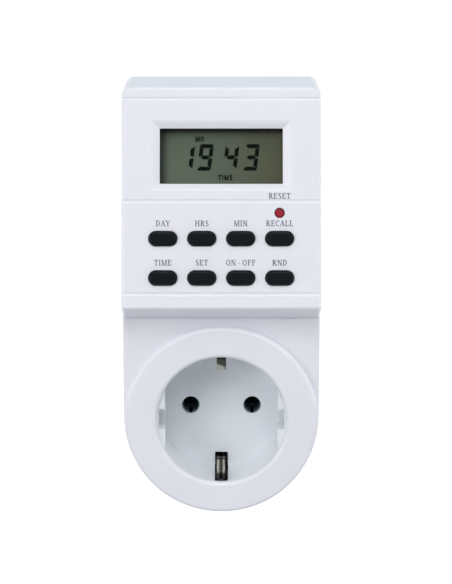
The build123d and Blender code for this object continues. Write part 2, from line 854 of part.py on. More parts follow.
def axial_parts(places, diameter, length):
    """Round parts that lie on the power board, each on a lead bent down at both ends."""
    axis_depth = power_front + diameter / 2 + lead_diameter
    lead_half = length / 2 + lead_span
    with BuildPart() as row:
        for x, height in places:
            with BuildSketch(Plane.YZ.offset(x - length / 2)):
                with Locations((-axis_depth, height)):
                    Circle(diameter / 2)
            extrude(amount=length)
            with BuildLine() as lead:
                FilletPolyline(
                    (x - lead_half, -power_front, height),
                    (x - lead_half, -axis_depth, height),
                    (x + lead_half, -axis_depth, height),
                    (x + lead_half, -power_front, height),
                    radius=lead_diameter,
                )
            with BuildSketch(Plane(origin=lead.line @ 0, z_dir=lead.line % 0)):
                Circle(lead_diameter / 2)
            sweep(path=lead.line)
    return row


# Rectifier diodes and resistors on the power board
diode_reach = diode_length + 2 * lead_span
diode_x = power_half_width - diode_edge - diode_reach / 2
diode_places = [
    (diode_x - column * (diode_reach + diode_gap), power_top - diode_drop - row * diode_pitch)
    for column in (0, 1)
    for row in (0, 1)
]
finish(axial_parts(diode_places, diode_diameter, diode_length), "rectifier_diodes")
resistor_x = resistor_edge + resistor_length / 2 + lead_span - power_half_width
resistor_places = [(resistor_x, power_top - resistor_drop - row * resistor_pitch) for row in (0, 1)]
finish(axial_parts(resistor_places, resistor_diameter, resistor_length), "resistors")

# Flat cable from the control board down to the power board
with BuildPart() as ribbon_cable:
    ribbon_start = panel_point(middle_groove, board_back)
    ribbon_out = panel_point(middle_groove, board_back + ribbon_run)
    ribbon_height = relay_top + ribbon_gap
    with BuildSketch(side_plane.offset(-ribbon_offset)):
        with BuildLine() as ribbon_path:
            FilletPolyline(
                ribbon_start,
                ribbon_out,
                (power_front + ribbon_run, ribbon_height),
                (power_front, ribbon_height),
                radius=ribbon_bend,
            )
        trace(ribbon_path.line, line_width=ribbon_thickness)
    extrude(amount=ribbon_width / 2, both=True)
finish(ribbon_cable, "ribbon_cable")


def plug_pin(side):
    """A round plug pin with a thicker root, and a collar behind the plug body's end wall."""
    with BuildPart() as pin:
        with BuildSketch(depth_plane(-boss_depth)):
            with Locations((side * pin_x, 0)):
                Circle(pin_radius)
        extrude(amount=-pin_length)
        fillet(pin.faces().sort_by(Axis.Y)[-1].edges(), pin_tip_fillet)
        with BuildSketch(depth_plane(-boss_depth)):
            with Locations((side * pin_x, 0)):
                Circle(pin_radius + pin_root_step)
        extrude(amount=boss_depth - pin_inner_gap)
        with BuildSketch(depth_plane(boss_end - boss_depth)):
            with Locations((side * pin_x, 0)):
                Circle(pin_collar_diameter / 2)
        extrude(amount=pin_collar_thickness)
    return pin


finish(plug_pin(-1), "live_pin")
finish(plug_pin(1), "neutral_pin")


def contact_sleeve(side, back, tag_x):
    """A slit sleeve behind a pin hole, with a tag for its wire."""
    with BuildPart() as sleeve:
        with BuildSketch(depth_plane(back)):
            with Locations((side * pin_x, 0)):
                Circle(sleeve_outer)
        extrude(amount=sleeve_front - back)
        with BuildSketch(depth_plane(tag_depth)):
            with Locations((tag_x, tag_top / 2)):
                Rectangle(tag_width, tag_top)
        extrude(amount=tag_thickness)
        with BuildSketch(depth_plane(back)):
            with Locations((side * pin_x, 0)):
                Circle(sleeve_inner)
        extrude(amount=sleeve_front - back, mode=Mode.SUBTRACT)
        with BuildSketch(depth_plane(sleeve_front)):
            with Locations((side * pin_x, -sleeve_outer)):
                Rectangle(sleeve_slit, 2 * sleeve_outer)
        extrude(amount=-sleeve_slit_length, mode=Mode.SUBTRACT)
    return sleeve


# The live sleeve stands clear of the live pin, because the relay is between them
live_contact = contact_sleeve(-1, -pin_inner_gap + live_gap, -live_out_offset)
finish(live_contact, "live_contact")

# The neutral sleeve has a base that seats on the neutral pin
with BuildPart() as neutral_contact:
    add(contact_sleeve(1, -pin_inner_gap, pin_x).part)
    with BuildSketch(depth_plane(-pin_inner_gap)):
        with Locations((pin_x, 0)):
            Circle(sleeve_outer)
    extrude(amount=sleeve_base)
finish(neutral_contact, "neutral_contact")

# Tag on the live pin's inner end, which carries the feed wire
with BuildPart() as live_tag:
    with BuildSketch(depth_plane(-pin_inner_gap)):
        with Locations((-pin_x, 0)):
            Circle(sleeve_outer)
        with Locations((-live_in_offset + wire_diameter / 2, live_in_height / 2)):
            Rectangle(tag_width, live_in_height + wire_diameter)
    extrude(amount=tag_thickness)
finish(live_tag, "live_tag")

# Insulating plate over the hollow of the plug body, which steadies both sleeves
with BuildPart() as contact_carrier:
    with BuildSketch(depth_plane(wall)):
        Rectangle(2 * (hollow_half_width + carrier_seat), carrier_height)
        with Locations((-pin_x, 0), (pin_x, 0)):
            Circle(sleeve_outer + carrier_clearance, mode=Mode.SUBTRACT)
    extrude(amount=carrier_thickness)
finish(contact_carrier, "contact_carrier")

# Earth strip: sprung into the well at the front, and lying on the plug body at the back
with BuildPart() as earth_clip_top:
    with BuildSketch(side_plane):
        with BuildLine() as strip_path:
            FilletPolyline(
                (collar_face - strip_nose_setback, well_radius - strip_nose_reach),
                (collar_face - strip_crown_setback, well_radius - strip_crown_reach),
                (floor_front + strip_foot_rise, strip_foot_radius),
                (strip_foot_depth, strip_foot_radius),
                (strip_jog_depth, strip_radius),
                (strip_end_setback - boss_depth, strip_radius),
                radius=strip_bend,
            )
        trace(strip_path.line, line_width=strip_thickness)
    extrude(amount=strip_width / 2, both=True)
finish(earth_clip_top, "earth_clip_top")

with BuildPart() as earth_clip_bottom:
    add(mirror(earth_clip_top.part, about=Plane.XY, mode=Mode.PRIVATE))
finish(earth_clip_bottom, "earth_clip_bottom")

# Strap that joins both earth strips, with a tab folded under each
with BuildPart() as earth_link:
    strip_inside = strip_radius - strip_thickness / 2
    with BuildSketch(side_plane):
        with Locations((link_depth, 0)):
            Rectangle(strip_thickness, 2 * strip_inside)
        tab_depth = link_depth + (link_tab - strip_thickness) / 2
        tab_radius = strip_inside - strip_thickness / 2
        with Locations((tab_depth, -tab_radius), (tab_depth, tab_radius)):
            Rectangle(link_tab, strip_thickness)
    extrude(amount=strip_width / 2, both=True)
finish(earth_link, "earth_link")


def wire(route):
    """A round wire along straight runs and arcs, given by x, depth and height."""
    with BuildPart() as tube:
        with BuildLine() as path:
            FilletPolyline(*[(x, -depth, height) for x, depth, height in route], radius=wire_bend)
        with BuildSketch(Plane(origin=path.line @ 0, z_dir=path.line % 0)):
            Circle(wire_diameter / 2)
        sweep(path=path.line)
    return tube


# Wires between the contacts and the power board
live_in_route = [
    (-live_in_offset, tag_thickness - pin_inner_gap, live_in_height),
    (-live_in_offset, wire_depth, live_in_height),
    (-live_in_offset, wire_depth, wire_end),
    (-live_in_offset, power_front, wire_end),
]
finish(wire(live_in_route), "live_in_wire")
for name, x in (("live_out_wire", -live_out_offset), ("neutral_wire", pin_x)):
    route = [(x, wire_depth, tag_top), (x, wire_depth, wire_end), (x, power_front, wire_end)]
    finish(wire(route), name)


def screws(places, seat_plane, head_diameter, head_height, shank_diameter, length):
    """Screws with cross recesses, seated on a plane whose normal points out of the heads."""
    with BuildPart() as group:
        with BuildSketch(seat_plane):
            with Locations(*places):
                Circle(head_diameter / 2)
        extrude(amount=head_height)
        with BuildSketch(seat_plane):
            with Locations(*places):
                Circle(shank_diameter / 2)
        extrude(amount=-length)
        with BuildSketch(seat_plane.offset(head_height)):
            with Locations(*places):
                Rectangle(head_diameter * recess_share, head_diameter * recess_width_share)
                Rectangle(head_diameter * recess_width_share, head_diameter * recess_share)
        extrude(amount=-head_height * recess_depth_share, mode=Mode.SUBTRACT)
    return group


def facing_back(plane):
    """The same plane with its normal turned back, so that X is mirrored in it."""
    return Plane(origin=plane.origin, x_dir=-plane.x_dir, z_dir=-plane.z_dir)


# Screws that hold the case, the control board and the power board
case_screws = screws(
    [(-x, height) for x, height in case_screw_places],
    facing_back(depth_plane(case_head_sink + case_head_height)),
    case_head_diameter,
    case_head_height,
    case_pilot_diameter,
    parting_depth - case_head_sink - case_head_height + case_screw_grip,
)
finish(case_screws, "case_screws")
board_screws = screws(
    [(-x, rise) for x, rise in board_screw_places],
    facing_back(panel_level(board_back)),
    board_screw_head_diameter,
    board_screw_head_height,
    pilot_diameter,
    board_screw_length,
)
finish(board_screws, "board_screws")
power_board_screws = screws(
    power_post_places,
    depth_plane(power_front),
    board_screw_head_diameter,
    board_screw_head_height,
    pilot_diameter,
    board_thickness + power_post_height,
)
finish(power_board_screws, "power_board_screws")
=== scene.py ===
import json
import math

import bmesh
import bpy
from mathutils import Matrix, Vector


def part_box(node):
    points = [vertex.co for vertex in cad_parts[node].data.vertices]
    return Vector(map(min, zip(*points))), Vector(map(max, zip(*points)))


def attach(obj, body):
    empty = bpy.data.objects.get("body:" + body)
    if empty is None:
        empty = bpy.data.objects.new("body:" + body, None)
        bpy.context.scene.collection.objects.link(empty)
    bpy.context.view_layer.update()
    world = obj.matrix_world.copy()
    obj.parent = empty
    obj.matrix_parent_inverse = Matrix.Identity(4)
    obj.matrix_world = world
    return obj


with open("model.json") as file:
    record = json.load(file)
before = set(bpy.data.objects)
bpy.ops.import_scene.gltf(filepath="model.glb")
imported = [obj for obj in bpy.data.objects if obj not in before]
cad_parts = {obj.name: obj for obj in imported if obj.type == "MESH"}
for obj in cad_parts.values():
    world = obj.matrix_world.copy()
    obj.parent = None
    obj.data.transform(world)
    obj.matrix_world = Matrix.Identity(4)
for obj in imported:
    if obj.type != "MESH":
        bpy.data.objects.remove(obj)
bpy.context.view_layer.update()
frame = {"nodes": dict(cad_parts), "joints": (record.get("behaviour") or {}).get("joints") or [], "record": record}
nodes = frame["nodes"]
scene = bpy.context.scene
scene.view_settings.view_transform = "Standard"

MM = 0.001
HOUSING = "housing"


# Panel directions, read from the buttons' press direction and the front shell
press = Vector(frame["joints"][0]["axis"]).normalized()
panel_out = -press
panel_up = Vector((0, panel_out.z, -panel_out.y))
panel_level = max(v.co.dot(panel_out) for v in nodes["front_shell"].data.vertices)


def panel_span(node):
    """A node's x, rise and outward ranges in panel directions."""
    points = [v.co for v in nodes[node].data.vertices]
    ranges = []
    for axis in (Vector((1, 0, 0)), panel_up, panel_out):
        along = [p.dot(axis) for p in points]
        ranges.append((min(along), max(along)))
    return ranges


def panel_centre(node):
    """A node's middle, as x and rise."""
    across, rise, _ = panel_span(node)
    return sum(across) / 2, sum(rise) / 2


def panel_matrix(x, rise, level):
    """A frame that lies on the panel: x to the right, y up the slope, z out of it."""
    place = Vector((x, 0, 0)) + panel_up * rise + panel_out * level
    columns = Matrix((Vector((1, 0, 0)), panel_up, panel_out)).transposed()
    return Matrix.Translation(place) @ columns.to_4x4()


window_across, window_rise, _ = panel_span("lcd_window")
window_width = window_across[1] - window_across[0]


# Materials

# Nearly all of a noise texture lies between these values
NOISE_LOW = 0.3
NOISE_HIGH = 0.7


def new_material(name):
    """A material with an empty tree but for its output and a Principled shader."""
    material = bpy.data.materials.new(name)
    material.use_nodes = True
    tree = material.node_tree
    tree.nodes.clear()
    output = tree.nodes.new("ShaderNodeOutputMaterial")
    shader = tree.nodes.new("ShaderNodeBsdfPrincipled")
    tree.links.new(shader.outputs[0], output.inputs["Surface"])
    return material, tree, shader, output


def object_coordinates(tree, stretch=(1, 1, 1)):
    """Object coordinates in metres, stretched along each axis."""
    source = tree.nodes.new("ShaderNodeTexCoord")
    mapping = tree.nodes.new("ShaderNodeMapping")
    mapping.inputs["Scale"].default_value = stretch
    tree.links.new(source.outputs["Object"], mapping.inputs["Vector"])
    return mapping.outputs[0]


def axes(tree, vector):
    """A vector's X, Y and Z."""
    node = tree.nodes.new("ShaderNodeSeparateXYZ")
    tree.links.new(vector, node.inputs[0])
    return node.outputs


def noise(tree, vector, scale, detail=3.0):
    """A noise texture's value."""
    node = tree.nodes.new("ShaderNodeTexNoise")
    node.inputs["Scale"].default_value = scale
    node.inputs["Detail"].default_value = detail
    tree.links.new(vector, node.inputs["Vector"])
    return node.outputs["Fac"]


def ramp(tree, factor, stops):
    """A colour ramp from (position, colour) stops."""
    node = tree.nodes.new("ShaderNodeValToRGB")
    elements = node.color_ramp.elements
    while len(elements) < len(stops):
        elements.new(0.5)
    for element, (position, colour) in zip(elements, stops):
        element.position = position
        element.color = (*colour, 1)
    tree.links.new(factor, node.inputs["Fac"])
    return node.outputs["Color"]


def two_tone(tree, factor, dark, light):
    """A noise value as a colour between two others."""
    return ramp(tree, factor, [(NOISE_LOW, dark), (NOISE_HIGH, light)])


def mapped(tree, value, source, target=(0.0, 1.0), smooth=False):
    """A value carried from one range to another, with soft ends if smooth."""
    node = tree.nodes.new("ShaderNodeMapRange")
    if smooth:
        node.interpolation_type = "SMOOTHSTEP"
    node.inputs["From Min"].default_value = source[0]
    node.inputs["From Max"].default_value = source[1]
    node.inputs["To Min"].default_value = target[0]
    node.inputs["To Max"].default_value = target[1]
    tree.links.new(value, node.inputs["Value"])
    return node.outputs[0]


def spread(tree, factor, low, high):
    """A noise value spread between two numbers."""
    return mapped(tree, factor, (NOISE_LOW, NOISE_HIGH), (low, high))


def scaled_sum(tree, value, factor, other):
    """A value times a factor, added to another value."""
    node = tree.nodes.new("ShaderNodeMath")
    node.operation = "MULTIPLY_ADD"
    node.inputs[1].default_value = factor
    tree.links.new(value, node.inputs[0])
    tree.links.new(other, node.inputs[2])
    return node.outputs[0]


def dimmed(tree, colour, level):
    """A colour times a level."""
    node = tree.nodes.new("ShaderNodeVectorMath")
    node.operation = "SCALE"
    tree.links.new(colour, node.inputs[0])
    tree.links.new(level, node.inputs["Scale"])
    return node.outputs["Vector"]


def bump(tree, shader, height, strength, distance):
    """Relief from a texture, on a shader's normal."""
    node = tree.nodes.new("ShaderNodeBump")
    node.inputs["Strength"].default_value = strength
    node.inputs["Distance"].default_value = distance
    tree.links.new(height, node.inputs["Height"])
    tree.links.new(node.outputs[0], shader.inputs["Normal"])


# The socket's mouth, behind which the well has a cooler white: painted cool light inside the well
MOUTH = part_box("socket_cup")[0][1]
MOUTH_DEPTH = 3.0 * MM


def painted_well_light_mix(tree, vector, outer, painted_well_light):
    """One colour at the socket's face, and another behind its mouth, painted cool light in the well."""
    depth = axes(tree, vector)["Y"]
    mix = tree.nodes.new("ShaderNodeMix")
    mix.data_type = "RGBA"
    tree.links.new(mapped(tree, depth, (MOUTH, MOUTH + MOUTH_DEPTH), smooth=True), mix.inputs["Factor"])
    tree.links.new(outer, mix.inputs["A"])
    tree.links.new(painted_well_light, mix.inputs["B"])
    return mix.outputs["Result"]


GRAIN_DEPTH = 0.05 * MM
GRAIN_DETAIL = 2.0


def finish_material(
        name, dark, light, cloud, rough, grain, grain_bump,
        metallic=0.0, stretch=(1, 1, 1), specular=0.5, painted_well_light=None):
    """A cloudy surface with uneven roughness and a fine grain. The two colours in painted_well_light are painted
    cool light in the well.
    """
    material, tree, shader, _ = new_material(name)
    vector = object_coordinates(tree, stretch)
    clouds = noise(tree, vector, cloud)
    fine = noise(tree, vector, grain, GRAIN_DETAIL)
    colour = two_tone(tree, clouds, dark, light)
    if painted_well_light:
        colour = painted_well_light_mix(tree, vector, colour, two_tone(tree, clouds, *painted_well_light))
    tree.links.new(colour, shader.inputs["Base Color"])
    tree.links.new(spread(tree, fine, *rough), shader.inputs["Roughness"])
    shader.inputs["Metallic"].default_value = metallic
    shader.inputs["Specular IOR Level"].default_value = specular
    bump(tree, shader, fine, grain_bump, GRAIN_DEPTH)
    return material


WINDOW_TINT = (0.93, 0.95, 0.93, 1)
WINDOW_INDEX = 1.11
SMEAR_SCALE = 160.0
WINDOW_ROUGH = (0.03, 0.09)


def window_material():
    """Clear sheet: what is behind shows through, with a light mirror on the surface."""
    material, tree, shader, output = new_material("window_clear")
    tree.nodes.remove(shader)
    clear = tree.nodes.new("ShaderNodeBsdfTransparent")
    clear.inputs["Color"].default_value = WINDOW_TINT
    mirror = tree.nodes.new("ShaderNodeBsdfGlossy")
    edge = tree.nodes.new("ShaderNodeFresnel")
    edge.inputs["IOR"].default_value = WINDOW_INDEX
    smear = noise(tree, object_coordinates(tree), SMEAR_SCALE)
    tree.links.new(spread(tree, smear, *WINDOW_ROUGH), mirror.inputs["Roughness"])
    mix = tree.nodes.new("ShaderNodeMixShader")
    tree.links.new(edge.outputs[0], mix.inputs[0])
    tree.links.new(clear.outputs[0], mix.inputs[1])
    tree.links.new(mirror.outputs[0], mix.inputs[2])
    tree.links.new(mix.outputs[0], output.inputs["Surface"])
    return material


# The cell is grey green on the left and browner on the right, and clouds shift these tints a little
CELL_TINTS = [
    (0.12, (0.119, 0.148, 0.112)), (0.6, (0.101, 0.118, 0.091)), (1.0, (0.082, 0.083, 0.052)),
]
CLOUD_SCALE = 130.0
CLOUD_SHIFT = 0.22
CELL_ROUGH = (0.42, 0.55)
CELL_SPECULAR = 0.25

# Painted shade: what shows of the cell is dark along its left and top edges, and painted light makes it brightest
# at its foot
WINDOW_LIP = 0.9 * MM
PAINTED_SHADE_LEFT = 3.2 * MM
PAINTED_SHADE_TOP = 1.65 * MM
LEFT_SHADE_LEVEL = 0.15
TOP_SHADE_LEVEL = 0.04
HEAD_SHADE_LEVEL = 0.95
FOOT_LIGHT_LEVEL = 1.12


def cell_material():
    """Liquid crystal cell, tinted from left to right, with painted shade along its left and top edges and painted
    light towards its foot.
    """
    material, tree, shader, _ = new_material("lcd_cell")
    vector = object_coordinates(tree)
    across = axes(tree, vector)["X"]
    cloud = noise(tree, vector, CLOUD_SCALE)
    half = window_width / 2
    shift = mapped(tree, across, (-half, half))
    tint = ramp(tree, scaled_sum(tree, cloud, CLOUD_SHIFT, shift), CELL_TINTS)
    slope = tree.nodes.new("ShaderNodeVectorMath")
    slope.operation = "DOT_PRODUCT"
    slope.inputs[1].default_value = panel_up
    tree.links.new(vector, slope.inputs[0])
    rise = slope.outputs["Value"]
    left = window_across[0] + WINDOW_LIP
    top = window_rise[1] - WINDOW_LIP
    # Painted shade along the left and top edges, and painted light growing towards the foot
    painted_shades = (
        (across, (left, left + PAINTED_SHADE_LEFT), (LEFT_SHADE_LEVEL, 1)),
        (rise, (top, top - PAINTED_SHADE_TOP), (TOP_SHADE_LEVEL, 1)),
        (rise, (top, window_rise[0]), (HEAD_SHADE_LEVEL, FOOT_LIGHT_LEVEL)),
    )
    for along, places, levels in painted_shades:
        tint = dimmed(tree, tint, mapped(tree, along, places, levels, smooth=True))
    tree.links.new(tint, shader.inputs["Base Color"])
    tree.links.new(spread(tree, cloud, *CELL_ROUGH), shader.inputs["Roughness"])
    shader.inputs["Specular IOR Level"].default_value = CELL_SPECULAR
    return material


TRACK_SCALE = 420.0
TRACK_SHARE = 0.06
TRACK_BUMP = 0.2
TRACK_DEPTH = 0.04 * MM
LACQUER_SCALE = 700.0
LACQUER_ROUGH = (0.28, 0.42)
TRACK_COLOURS = {
    "Color1": (0.010, 0.085, 0.030, 1),
    "Color2": (0.014, 0.110, 0.040, 1),
    "Mortar": (0.045, 0.190, 0.070, 1),
}


def board_material():
    """Circuit board: green lacquer over paler copper tracks."""
    material, tree, shader, _ = new_material("board_green")
    vector = object_coordinates(tree)
    tracks = tree.nodes.new("ShaderNodeTexBrick")
    for socket, colour in TRACK_COLOURS.items():
        tracks.inputs[socket].default_value = colour
    tracks.inputs["Scale"].default_value = TRACK_SCALE
    tracks.inputs["Mortar Size"].default_value = TRACK_SHARE
    turn = tree.nodes.new("ShaderNodeMapping")
    turn.inputs["Rotation"].default_value = (math.radians(90), 0, 0)
    tree.links.new(vector, turn.inputs["Vector"])
    tree.links.new(turn.outputs[0], tracks.inputs["Vector"])
    tree.links.new(tracks.outputs["Color"], shader.inputs["Base Color"])
    lacquer = noise(tree, vector, LACQUER_SCALE)
    tree.links.new(spread(tree, lacquer, *LACQUER_ROUGH), shader.inputs["Roughness"])
    bump(tree, shader, tracks.outputs["Fac"], TRACK_BUMP, TRACK_DEPTH)
    return material


CORE_SCALE = 250.0
CORE_BUMP = 0.4
CORE_DEPTH = 0.1 * MM
SHEATH_SCALE = 900.0
SHEATH_ROUGH = (0.45, 0.6)
CORE_SHADES = [(0.1, (0.20, 0.20, 0.21)), (0.9, (0.42, 0.42, 0.43))]


def ribbon_material():
    """Flat cable: grey cores side by side."""
    material, tree, shader, _ = new_material("ribbon_grey")
    vector = object_coordinates(tree)
    cores = tree.nodes.new("ShaderNodeTexWave")
    cores.wave_type = "BANDS"
    cores.bands_direction = "X"
    cores.inputs["Scale"].default_value = CORE_SCALE
    tree.links.new(vector, cores.inputs["Vector"])
    tree.links.new(ramp(tree, cores.outputs["Fac"], CORE_SHADES), shader.inputs["Base Color"])
    sheath = noise(tree, vector, SHEATH_SCALE)
    tree.links.new(spread(tree, sheath, *SHEATH_ROUGH), shader.inputs["Roughness"])
    bump(tree, shader, cores.outputs["Fac"], CORE_BUMP, CORE_DEPTH)
    return material


# An earth strip's painted shade: unshaded up to one reach from the socket's axis, dark from another, and the
# line's lean
LOWER_PAINTED_SHADE = (16.9 * MM, 17.9 * MM, 0.0)
UPPER_PAINTED_SHADE = (15.4 * MM, 16.6 * MM, 0.5)
PAINTED_SHADE_LEVEL = 0.12

# The lower strip's tones are painted light: pale bands as painted highlights, and painted shade down its middle
# and along its right edge
LOWER_HIGHLIGHT = (0.17, 0.165, 0.15)
LOWER_HIGHLIGHTS_AND_SHADE = [
    (0.0, (0.13, 0.13, 0.12)), (0.18, LOWER_HIGHLIGHT), (0.32, (0.020, 0.022, 0.020)),
    (0.60, (0.018, 0.020, 0.018)), (0.72, LOWER_HIGHLIGHT), (0.80, LOWER_HIGHLIGHT),
    (0.90, (0.012, 0.012, 0.012)),
]
# The upper strip is darker towards its right edge: painted shade
UPPER_BRIGHT = (0.60, 0.61, 0.50)
UPPER_TONES_AND_SHADE = [(0.0, UPPER_BRIGHT), (0.65, UPPER_BRIGHT), (1.0, (0.30, 0.30, 0.25))]

BRUSH_STRETCH = (6, 1, 1)
BRUSH_SCALE = 900.0
BRUSH_BUMP = 0.12
BRUSH_ROUGH = (0.30, 0.46)
WOBBLE = 0.3 * MM


def strip_material(name, painted_light_bands, painted_shade):
    """Plated spring strip: painted highlights and shade in bands from left to right, and painted shade far from
    the socket's axis.
    """
    unshaded_reach, shaded_reach, lean = painted_shade
    material, tree, shader, _ = new_material(name)
    place = axes(tree, object_coordinates(tree))
    brushed = noise(tree, object_coordinates(tree, BRUSH_STRETCH), BRUSH_SCALE)
    across = scaled_sum(tree, brushed, WOBBLE, place["X"])
    left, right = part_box("earth_clip_top")[0][0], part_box("earth_clip_top")[1][0]
    share = mapped(tree, across, (left + WOBBLE / 2, right + WOBBLE / 2))
    reach = tree.nodes.new("ShaderNodeMath")
    reach.operation = "ABSOLUTE"
    tree.links.new(place["Z"], reach.inputs[0])
    slope = scaled_sum(tree, across, lean, reach.outputs[0])
    # Painted shade, darkest far from the socket's axis
    unshaded = mapped(tree, slope, (shaded_reach, unshaded_reach), (PAINTED_SHADE_LEVEL, 1), smooth=True)
    tree.links.new(dimmed(tree, ramp(tree, share, painted_light_bands), unshaded), shader.inputs["Base Color"])
    tree.links.new(spread(tree, brushed, *BRUSH_ROUGH), shader.inputs["Roughness"])
    shader.inputs["Metallic"].default_value = 1.0
    bump(tree, shader, brushed, BRUSH_BUMP, GRAIN_DEPTH)
    return material


# Finishes by slot. cloud and grain are noise scales, and rough is the roughness range
finishes = {
    "shell_white": dict(
        dark=(0.758, 0.770, 0.828), light=(0.778, 0.790, 0.848),
        cloud=45.0, rough=(0.30, 0.40), grain=5200.0, grain_bump=0.05),
    "key_black": dict(
        dark=(0.0020, 0.0050, 0.0062), light=(0.0030, 0.0066, 0.0080),
        cloud=260.0, rough=(0.26, 0.36), grain=6000.0, grain_bump=0.06, specular=0.07),
    "key_red": dict(
        dark=(0.26, 0.010, 0.020), light=(0.31, 0.014, 0.027),
        cloud=400.0, rough=(0.30, 0.42), grain=6000.0, grain_bump=0.06, specular=0.2),
    "frame_grey": dict(
        dark=(0.040, 0.042, 0.044), light=(0.055, 0.057, 0.060),
        cloud=200.0, rough=(0.45, 0.60), grain=4000.0, grain_bump=0.1),
    "zebra_rubber": dict(
        dark=(0.05, 0.05, 0.055), light=(0.16, 0.15, 0.15),
        cloud=2400.0, rough=(0.6, 0.8), grain=5000.0, grain_bump=0.1, stretch=(1, 0.05, 0.05)),
    "switch_black": dict(
        dark=(0.014, 0.014, 0.015), light=(0.022, 0.022, 0.023),
        cloud=300.0, rough=(0.40, 0.55), grain=5000.0, grain_bump=0.1),
    "resin_black": dict(
        dark=(0.008, 0.008, 0.009), light=(0.016, 0.016, 0.017),
        cloud=320.0, rough=(0.20, 0.34), grain=1500.0, grain_bump=0.12),
    "can_steel": dict(
        dark=(0.56, 0.56, 0.57), light=(0.68, 0.68, 0.68),
        cloud=300.0, rough=(0.22, 0.36), grain=3000.0, grain_bump=0.08, metallic=1.0, stretch=(1, 6, 1)),
    "relay_blue": dict(
        dark=(0.020, 0.075, 0.26), light=(0.028, 0.095, 0.31),
        cloud=120.0, rough=(0.34, 0.46), grain=5000.0, grain_bump=0.08),
    "film_yellow": dict(
        dark=(0.62, 0.36, 0.035), light=(0.72, 0.44, 0.050),
        cloud=150.0, rough=(0.34, 0.48), grain=3500.0, grain_bump=0.1),
    "sleeve_black": dict(
        dark=(0.012, 0.013, 0.020), light=(0.020, 0.021, 0.030),
        cloud=240.0, rough=(0.22, 0.34), grain=3500.0, grain_bump=0.08),
    "resistor_tan": dict(
        dark=(0.36, 0.23, 0.11), light=(0.48, 0.32, 0.17),
        cloud=900.0, rough=(0.40, 0.55), grain=4000.0, grain_bump=0.1),
    "pin_nickel": dict(
        dark=(0.60, 0.58, 0.54), light=(0.72, 0.70, 0.66),
        cloud=220.0, rough=(0.16, 0.28), grain=2600.0, grain_bump=0.06, metallic=1.0, stretch=(1, 8, 1)),
    # Painted shade: the contacts are dark teal so that the pin holes look as dark as the shade deep inside them
    "contact_brass": dict(
        dark=(0.105, 0.175, 0.195), light=(0.15, 0.225, 0.245),
        cloud=420.0, rough=(0.40, 0.55), grain=3000.0, grain_bump=0.1, metallic=0.4),
    "wire_brown": dict(
        dark=(0.085, 0.030, 0.014), light=(0.115, 0.042, 0.020),
        cloud=200.0, rough=(0.38, 0.50), grain=3500.0, grain_bump=0.1),
    "wire_blue": dict(
        dark=(0.014, 0.060, 0.230), light=(0.020, 0.080, 0.290),
        cloud=200.0, rough=(0.38, 0.50), grain=3500.0, grain_bump=0.1),
    "screw_steel": dict(
        dark=(0.46, 0.46, 0.46), light=(0.62, 0.62, 0.61),
        cloud=700.0, rough=(0.24, 0.38), grain=3000.0, grain_bump=0.1, metallic=1.0),
}
materials = {name: finish_material(name, **finish) for name, finish in finishes.items()}
materials["window_clear"] = window_material()
materials["lcd_cell"] = cell_material()
materials["board_green"] = board_material()
materials["ribbon_grey"] = ribbon_material()
materials["earth_steel"] = strip_material("earth_steel", LOWER_HIGHLIGHTS_AND_SHADE, LOWER_PAINTED_SHADE)

# Two nodes have a finish of their own
own_finish = {
    # The cup's well has painted cooler light behind its mouth
    "socket_cup": finish_material(
        "cup_white", **finishes["shell_white"], painted_well_light=((0.752, 0.790, 0.826), (0.772, 0.810, 0.846))),
    "earth_clip_top": strip_material("earth_steel_top", UPPER_TONES_AND_SHADE, UPPER_PAINTED_SHADE),
}

for row in frame["record"]["subparts"]:
    data = nodes[row["node"]].data
    data.materials.clear()
    data.materials.append(own_finish.get(row["node"], materials[row["material_slot"]]))

ink = finish_material(
    "legend_ink", (0.070, 0.080, 0.120), (0.100, 0.110, 0.155),
    cloud=900.0, rough=(0.55, 0.70), grain=5000.0, grain_bump=0.05)
segment_ink = finish_material(
    "segment_dark", (0.0015, 0.0030, 0.0020), (0.0030, 0.0050, 0.0032),
    cloud=700.0, rough=(0.45, 0.60), grain=4000.0, grain_bump=0.02, specular=0.02)


# Flat print: legends on the panel and segments in the display


def turned(items):
    """The same items, each one moved up by one place."""
    return items[1:] + items[:1]


def plates(outlines, matrix, thickness):
    """Thin closed plates with the given outlines, in a frame. Their faces come in the same order each run."""
    build = bmesh.new()
    for outline in outlines:
        area = sum(p.cross(q) for p, q in zip(outline, turned(outline)))
        points = outline if area > 0 else outline[::-1]
        back = [build.verts.new((p.x, p.y, 0)) for p in points]
        front = [build.verts.new((p.x, p.y, thickness)) for p in points]
        build.faces.new(back[::-1])
        build.faces.new(front)
        for corners in zip(back, turned(back), turned(front), front):
            build.faces.new(corners)
    build.transform(matrix)
    mesh = bpy.data.meshes.new("plates")
    build.to_mesh(mesh)
    build.free()
    return mesh


def joined(name, meshes, material, body):
    """One piece from several meshes, riding on a body."""
    total = bmesh.new()
    for mesh in meshes:
        total.from_mesh(mesh)
        bpy.data.meshes.remove(mesh)
    data = bpy.data.meshes.new(name)
    total.to_mesh(data)
    total.free()
    data.materials.append(material)
    piece = bpy.data.objects.new(name, data)
    scene.collection.objects.link(piece)
    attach(piece, body)


LETTER_GAP = 0.10


def stroke(x0, y0, x1, y1, thickness):
    """A straight stroke."""
    start = Vector((x0, y0))
    end = Vector((x1, y1))
    side = (end - start).orthogonal().normalized() * thickness / 2
    return [start - side, end - side, end + side, start + side]


